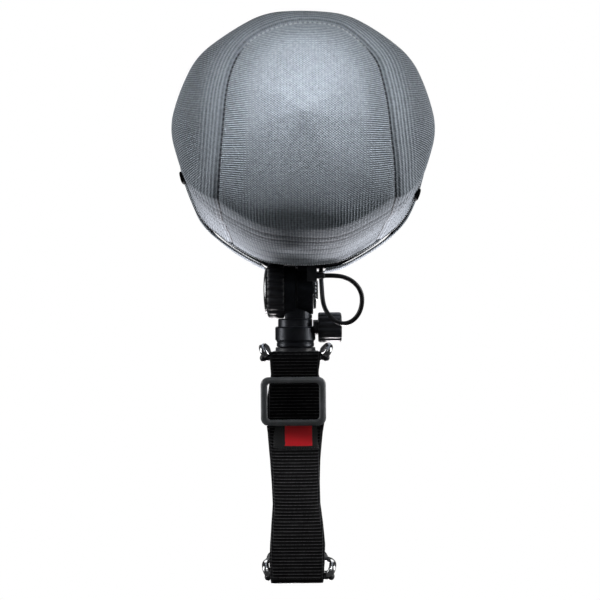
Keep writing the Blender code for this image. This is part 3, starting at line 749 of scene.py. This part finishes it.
def makeStrap():
    s, line = strap, strapLine()
    count = len(line)
    heights, halves = zip(*s["widths"])
    tangents = np.roll(line, -1, 0) - np.roll(line, 1, 0)
    tangents /= np.linalg.norm(tangents, axis=1)[:, None]
    normals = np.stack([-tangents[:, 1], tangents[:, 0]], 1)
    run = np.concatenate([[0], np.cumsum(np.linalg.norm(np.diff(line, axis=0), axis=1))])
    # one closed ring of the cross-section at each place: out along the outside, round the edge, back inside
    half = s["columns"] // 2
    spans = np.linspace(-1, 1, half * 2 + 1)
    ring = [(u, 0.5) for u in spans] + [(1.012, 0.25), (1.016, 0.0), (1.012, -0.25)] + [(u, -0.5) for u in spans[::-1]] \
        + [(-1.012, -0.25), (-1.016, 0.0), (-1.012, 0.25)]
    points, cloth = [], []
    for i, ((y, z), (ny, nz)) in enumerate(zip(line, normals)):
        wide = float(np.interp(z, heights, halves))
        away = np.interp(z, [s["foot"] + 0.004, s["foot"] + 0.016, s["top"] - 0.03, s["top"] - 0.012], [0, 1, 1, 0])
        cup = (0.0129 - wide) * 0.8 * away
        atFront = i < s["frontRows"]
        outside = 1 if atFront else 0.35
        for u, v in ring:
            edge = min(abs(u), 1.0)
            dip = cup * edge ** 3 * outside
            thick = s["thick"] * (1 - 0.18 * max(0, edge - 0.9) / 0.1)
            rib = 0.00009 * math.sin(2 * math.pi * run[i] / 0.00155) * (abs(v) == 0.5) * (edge < 0.91)
            offset = v * thick + math.copysign(rib, v)
            skew = 0.0004 * math.sin(z * 75) * away
            shiftIn = -0.0005 * (1 if u > 0 else 0) * math.exp(-((z - 0.103) / 0.004) ** 2)
            points.append((s["centre"] + u * wide + skew + shiftIn, y + dip * (1 if atFront else -0.3) + ny * offset,
                           z + nz * offset))
            cloth.append((u * wide, run[i], edge))
    size = len(ring)
    faces = []
    for i in range(count):
        for j in range(size):
            a, b = i * size + j, i * size + (j + 1) % size
            c, d = ((i + 1) % count) * size + (j + 1) % size, ((i + 1) % count) * size + j
            faces.append((a, b, c, d))
    piece = newPiece("webbing_strap", points, faces, "webbing", "handle", ["hand_strap"])
    ownNumbers(piece, cloth=cloth)
    weldPoints(piece)
    return piece, run[-1] + np.linalg.norm(line[0] - line[-1])


strapPiece, strapLong = makeStrap()
print("strap:", round(float(strapLong), 4), "m")


def makeLabel():
    # a woven patch sewn on the strap's front, its edges sinking into the webbing
    low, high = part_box("strap_label")
    columns, rows = 45, 27
    points, cloth = [], []
    for side in (0, 1):
        for r in range(rows):
            for c in range(columns):
                u, v = c / (columns - 1), r / (rows - 1)
                x, z = low.x + (high.x - low.x) * u, low.z + (high.z - low.z) * v
                rim = min(1, min(u, 1 - u) * 14, min(v, 1 - v) * 8)
                front = -0.0363 - 0.00045 * rim ** 0.5 - 0.00008 * math.sin(z * 500 + x * 200)
                dip = 0.0006 * abs(2 * u - 1) ** 3
                points.append((x, (front if not side else -0.0361) + dip, z))
                cloth.append((x - strap["centre"], z - low.z, abs(2 * u - 1)))
    size = rows * columns
    faces = gridFaces(rows, columns, wrap=False)
    faces += [tuple(size + i for i in face[::-1]) for face in gridFaces(rows, columns, wrap=False)]
    border = [c for c in range(columns)] + [r * columns + columns - 1 for r in range(1, rows)] \
        + [(rows - 1) * columns + c for c in range(columns - 2, -1, -1)] + [r * columns for r in range(rows - 2, 0, -1)]
    for a, b in zip(border, border[1:] + border[:1]):
        faces.append((b, a, size + a, size + b))
    piece = newPiece("sewn_label", points, faces, "label", "handle", ["strap_label"])
    ownNumbers(piece, cloth=cloth)
    weldPoints(piece)


makeLabel()

# strap slider: rounded frame that the strap runs behind
def makeSlider():
    low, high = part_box("strap_slider")
    centre, wide, tall = (low + high) / 2 - Vector((0.0010, 0, 0.0003)), (high.x - low.x) / 2, (high.z - low.z) / 2
    rings = []
    # rows: how far in from the outer edge, corner radius, place front to back (0 front, 1 back)
    rows = [(0.0012, 0.0032, 0.9), (0.0003, 0.0036, 0.85), (0.0, 0.0037, 0.65), (0.0, 0.0037, 0.40), (0.0002, 0.0036, 0.22),
            (0.0007, 0.0033, 0.09), (0.0014, 0.0029, 0.02), (0.0021, 0.0025, 0.0), (0.0026, 0.0021, 0.03), (0.0030, 0.0018, 0.12),
            (0.0031, 0.0016, 0.30), (0.0032, 0.0015, 0.60), (0.0029, 0.0017, 0.85)]
    front, back = low.y, low.y + 0.0026
    for inset, corner, deep in rows:
        ring = []
        w, t = wide - inset, tall - inset * 0.93
        for quarter in range(4):
            sx, sz = ((1, 1), (-1, 1), (-1, -1), (1, -1))[quarter]
            for step in range(9):
                a = math.pi / 2 * (quarter + step / 8)
                ring.append((centre.x + sx * (w - corner) + corner * math.cos(a), front + (back - front) * deep,
                             centre.z + sz * (t - corner) + corner * math.sin(a)))
            nextX, nextZ = ((-1, 1), (-1, -1), (1, -1), (1, 1))[quarter]
            for part in (0.2, 0.4, 0.6, 0.8):
                a = math.pi / 2 * (quarter + 1)
                p = np.array((sx * (w - corner), sz * (t - corner)))
                q = np.array((nextX * (w - corner), nextZ * (t - corner)))
                m = p + (q - p) * part
                ring.append((centre.x + m[0] + corner * math.cos(a), front + (back - front) * deep,
                             centre.z + m[1] + corner * math.sin(a)))
        rings.append(ring)
    size = len(rings[0])
    faces = gridFaces(len(rings), size)
    last = (len(rings) - 1) * size
    faces += [(last + s, last + (s + 1) % size, (s + 1) % size, s) for s in range(size)]
    piece = newPiece("slider_frame", [p for ring in rings for p in ring], faces, "slider", "slider", ["strap_slider"])
    weldPoints(piece)


makeSlider()

# wire brackets: a flat steel strip round the handle that hooks over the strap's bars
bracket = {"wide": 0.0021, "squash": (1.0, 0.72)}


def makeBracket(label, height, shift):
    points = []
    for sign in (-1, 1):
        arm = [(0.0128, -0.0330, 0.0012), (0.0146, -0.0352, 0.0016), (0.0158, -0.0349, 0.0042), (0.0162, -0.0318, 0.0058),
               (0.0158, -0.0270, 0.0056), (0.0148, -0.0200, 0.0044), (0.0140, -0.0120, 0.0026), (0.0139, -0.0030, 0.0008),
               (0.0141, 0.0030, 0.0), (0.0134, 0.0080, 0.0), (0.0105, 0.0120, 0.0), (0.0060, 0.0146, 0.0), (0.0, 0.0154, 0.0)]
        side = [(strap["centre"] + sign * x + shift * (x > 0.0144), y, height + z) for x, y, z in arm]
        points = side if sign < 0 else points + side[::-1][1:]
    line, _ = even(rounded(points, 3), 0.0007)
    sweep(label + "_bracket_strip", line, bracket["wide"] / 1.2, "steel", "handle", 14, [label + "_bracket"],
          squash=bracket["squash"])


makeBracket("strap_top", 0.1094, 0.0004)
makeBracket("strap_foot", 0.0051, 0.0010)


def makeBars():
    # bars with ball ends, black
    for label, height, shift in (("strap_top", 0.1094, -0.0002), ("strap_foot", 0.0051, 0.0012)):
        rows = []
        for side in (-1, 1):
            ball = [(0.0150 + 0.0017 * math.sin(a), 0.00185 * math.cos(a)) for a in np.linspace(-0.9, math.pi / 2, 9)]
            part = [(0.0, 0.0014), (0.0135, 0.0014)] + ball
            ordered = part[::-1] if side < 0 else part[1:]
            rows += [(max(r, 0.00001), strap["centre"] + shift + side * x) for x, r in ordered]
        turned(label + "_bar_pin", rows, "knob", "handle", "X", (0, strap["bar"], height), 32, [label + "_bar"])


makeBars()
print("strap, label and slider made")


# pull tabs: short folded tapes, one on each side of each mouth
tab = {"section": ((-1, -0.5), (-1, 0.3), (-0.8, 0.7), (-0.4, 0.85), (0, 0.9), (0.4, 0.85), (0.8, 0.7), (1, 0.3), (1, -0.5),
                   (0, -0.6))}


def makeTabs():
    for label in ("front", "rear"):
        for side in ("left", "right"):
            node = f"{label}_pull_tab_{side}"
            low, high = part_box(node)
            centre = (low + high) / 2
            sign = -1 if side == "left" else 1
            lean = math.radians(14 if side == "left" else 18)
            rows = []
            for v in np.linspace(-1, 1, 15):
                ring = []
                for u, w in tab["section"]:
                    narrow = 1 - 0.1 * v * v
                    out = 0.0009 * w + 0.0002 * math.cos(v * 2)
                    up = 0.0028 * u * narrow
                    ring.append(centre + Vector((sign * (out * math.cos(lean) + up * math.sin(lean)), 0.0044 * v,
                                                 up * math.cos(lean) - out * math.sin(lean))))
                rows.append(ring)
            faces = gridFaces(15, 10)
            faces += [tuple(range(10))[::-1], tuple(140 + i for i in range(10))]
            piece = newPiece(node + "_tape", [p for ring in rows for p in ring], faces, "webbing", label + "_pod",
                             [node])
            ownNumbers(piece, cloth=[((i % 10) * 0.0007, (i // 10) * 0.0006, 0.3) for i in range(150)])
            weldPoints(piece)


makeTabs()

# swivel: knob, drum, head, socket
swivel = {"tilt": 0.142, "axis": -0.0046}


def flutes(count, deep, rows):
    # soft round-bottomed flutes cut into the given rows
    def wave(angle, row):
        return 1 - (deep * (0.5 + 0.5 * math.cos(angle * count)) ** 2 if row in rows else 0)
    return wave


def makeSwivel():
    s = swivel
    hub = (0, 0, s["tilt"])
    knob = [(0.0060, -0.0101), (0.0136, -0.0101), (0.0141, -0.0104), (0.0142, -0.0110), (0.0142, -0.0150), (0.0141, -0.0170),
            (0.0137, -0.0180), (0.0129, -0.0186), (0.0124, -0.0187), (0.0060, -0.0187)]
    turned("tilt_knob_grip", knob, "knob", "tilt_knob_body", "X", hub, 22 * 12, ["tilt_knob"],
           flutes(22, 0.065, (2, 3, 4, 5, 6, 7)), 50)
    # domed insert with a raised rim
    dome = [(0.0060, -0.0189)] + [(0.0118, -0.0190), (0.0119, -0.0194), (0.0116, -0.0197)] \
        + [(0.0114 * math.sin(a), -0.0197 - 0.0010 * math.cos(a) ** 1.5) for a in np.linspace(math.pi / 2, 0.0, 16)]
    turned("tilt_knob_dome", dome, "dome", "tilt_knob_body", "X", hub, 72, ["tilt_knob_cap"])
    # washer: a dark fibre ring that fills the gap
    washer = softened([(0.0032, -0.00425), (0.0121, -0.00425), (0.0121, -0.00322), (0.0032, -0.00322)], 0.0001)
    turned("fibre_washer", washer, "knob", "yoke", "X", hub, 72, ["friction_washer"])
    boss = softened([(0.0040, -0.01008), (0.0131, -0.01008), (0.0131, -0.0094), (0.0040, -0.0094)], 0.0001)
    turned("drum_boss", boss, "knob", "yoke", "X", hub, 72)
    cap = [(0.0024, 0.0049), (0.0096, 0.0049), (0.0098, 0.0052), (0.0098, 0.0057), (0.0095, 0.0061), (0.0060, 0.0063),
           (0.0024, 0.0062)]
    turned("serrated_cap", cap, "steel", "head", "X", hub, 30 * 8, ["bolt_cap"], flutes(30, 0.05, (1, 2, 3, 4)), 40)


makeSwivel()


def makeSocket():
    # pan socket in three turned steps, and the flange of the handle
    at = (swivel["axis"], 0, 0)
    steps = [(0.0052, 0.1133), (0.0093, 0.1133), (0.0096, 0.1137), (0.0096, 0.1150), (0.0094, 0.1153), (0.0094, 0.1156),
             (0.0096, 0.1159),
             (0.0097, 0.1163), (0.0100, 0.1166), (0.0103, 0.1169), (0.0103, 0.1229), (0.01005, 0.1233), (0.0098, 0.1236),
             (0.0089, 0.1237), (0.0088, 0.1240), (0.0088, 0.1270), (0.0085, 0.1275), (0.0081, 0.12765), (0.0054, 0.12765)]
    turned("socket_body", steps, "anodised", "handle", "Z", at, 96, stands=["pan_socket"], sharp=30)
    low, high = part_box("handle_flange")
    flange = [(0.0030, low.z), (0.0121, low.z), (0.0125, low.z + 0.0004), (0.0125, 0.1098), (0.0122, 0.1103), (0.0112, 0.1108),
              (0.0104, 0.1112), (0.0102, 0.1117), (0.0102, high.z - 0.0003), (0.0099, high.z), (0.0030, high.z)]
    turned("flange_body", flange, "moulded", "handle", "Z", at, 96, stands=["handle_flange"], sharp=30)
    knob = [(0.0039, 0.0046), (0.0039, 0.0071), (0.0070, 0.0072), (0.0075, 0.0074), (0.0077, 0.0079), (0.0077, 0.0160),
            (0.0077, 0.0180), (0.0075, 0.0186),
            (0.0070, 0.0190), (0.0064, 0.0191), (0.0050, 0.0188), (0.0048, 0.0185), (0.0010, 0.0185), (0.0, 0.0185)]
    screw = (0, 0, 0.123)
    turned("thumb_knob", knob, "knob", "thumb_screw_body", "X", screw, 14 * 14, ["thumb_screw"],
           flutes(14, 0.07, (3, 4, 5, 6, 7)), 45)


makeSocket()
print("swivel made")


# every node that stays as it is gets the finish of its slot
slotOf = {row["node"]: row["material_slot"] for row in frame["record"]["subparts"]}
for name, node in frame["nodes"].items():
    if node.hide_render:
        continue
    slots = node.data.materials
    chosen = finishes[slotFinish[slotOf[name]]]
    if len(slots):
        for i in range(len(slots)):
            slots[i] = chosen
    else:
        slots.append(chosen)

# studio
studio = {
    "white": 1.0, "fill": 0.035,
    # place, aimed at, width, height, power, spread, tint
    "lights": {
        "front": ((0.0, -0.95, 0.55), (0, 0, 0.18), 0.5, 0.4, 0.20, 120),
        "above": ((0.0, -0.05, 0.85), (0, 0.0, 0.2), 0.4, 0.4, 0.15, 120),
        "left": ((-0.7, -0.05, 0.22), (0, 0, 0.15), 0.3, 0.7, 1.9, 140),
        "right": ((0.7, -0.05, 0.22), (0, 0, 0.15), 0.3, 0.7, 2.5, 140),
        "below": ((0.0, 0.25, -0.15), (0, -0.08, 0.16), 0.14, 0.10, 2.1, 120, (1.0, 0.96, 0.98)),
        "back": ((0.0, 0.8, 0.5), (0, 0, 0.18), 0.7, 0.5, 1.2, 140),
    },
    # place, aimed at, half width of the pool of light, power, softness
    "spots": {
        "key": ((0.0, -0.42, 0.56), (0, -0.131, 0.200), 0.050, 18.0, 0.02),
    },
}


def softLight(name, place, aim, width, height, power, spread=180, tint=(1, 1, 1)):
    light = bpy.data.lights.new(name, "AREA")
    light.shape, light.size, light.size_y = "RECTANGLE", width, height
    light.energy, light.spread, light.color = power, math.radians(spread), tint
    holder = bpy.data.objects.new(name, light)
    scene.collection.objects.link(holder)
    holder.location = place
    holder.rotation_euler = (Vector(aim) - Vector(place)).to_track_quat("-Z", "Y").to_euler()
    holder.visible_camera = False
    return holder


def spotLight(name, place, aim, reach, power, soft):
    light = bpy.data.lights.new(name, "SPOT")
    light.energy, light.shadow_soft_size, light.spot_blend = power, soft, 1.0
    away = Vector(aim) - Vector(place)
    light.spot_size = 2 * math.atan(reach / away.length)
    holder = bpy.data.objects.new(name, light)
    scene.collection.objects.link(holder)
    holder.location = place
    holder.rotation_euler = away.to_track_quat("-Z", "Y").to_euler()
    holder.visible_camera = False


def makeStudio():
    world = bpy.data.worlds.new("studio")
    world.use_nodes = True
    tree = world.node_tree
    sky, out = tree.nodes["Background"], tree.nodes["World Output"]
    seen = tree.nodes.new("ShaderNodeBackground")
    path, mix = tree.nodes.new("ShaderNodeLightPath"), tree.nodes.new("ShaderNodeMixShader")
    sky.inputs[0].default_value, sky.inputs[1].default_value = (0.93, 0.97, 1.0, 1), studio["fill"]
    seen.inputs[0].default_value, seen.inputs[1].default_value = (1, 1, 1, 1), studio["white"]
    tree.links.new(path.outputs["Is Camera Ray"], mix.inputs[0])
    tree.links.new(sky.outputs[0], mix.inputs[1])
    tree.links.new(seen.outputs[0], mix.inputs[2])
    tree.links.new(mix.outputs[0], out.inputs[0])
    scene.world = world

    floorMesh = bpy.data.meshes.new("floor")
    floorMesh.from_pydata([(-6, -6, 0), (6, -6, 0), (6, 6, 0), (-6, 6, 0)], [], [(0, 1, 2, 3)])
    floor = bpy.data.objects.new("floor", floorMesh)
    scene.collection.objects.link(floor)
    paper = Finish("pale_paper", Roughness=0.9)
    paper.shader.inputs["Base Color"].default_value = (0.05, 0.05, 0.05, 1)
    glow = paper.node("ShaderNodeEmission", {}, {"Color": (1, 1, 1, 1), "Strength": 1.0})
    seenFloor = paper.node("ShaderNodeLightPath", {}, {}, "Is Camera Ray")
    both = paper.node("ShaderNodeMixShader", {}, {0: seenFloor, 1: Flow(paper, paper.shader.outputs[0]), 2: glow})
    paper.tree.links.new(both.socket, paper.tree.nodes["Material Output"].inputs[0])
    floorMesh.materials.append(paper.material)
    floor.visible_shadow = False

    for name, row in studio["lights"].items():
        softLight(name, *row)
    for name, row in studio["spots"].items():
        spotLight(name, *row)


makeStudio()
print("studio lit")
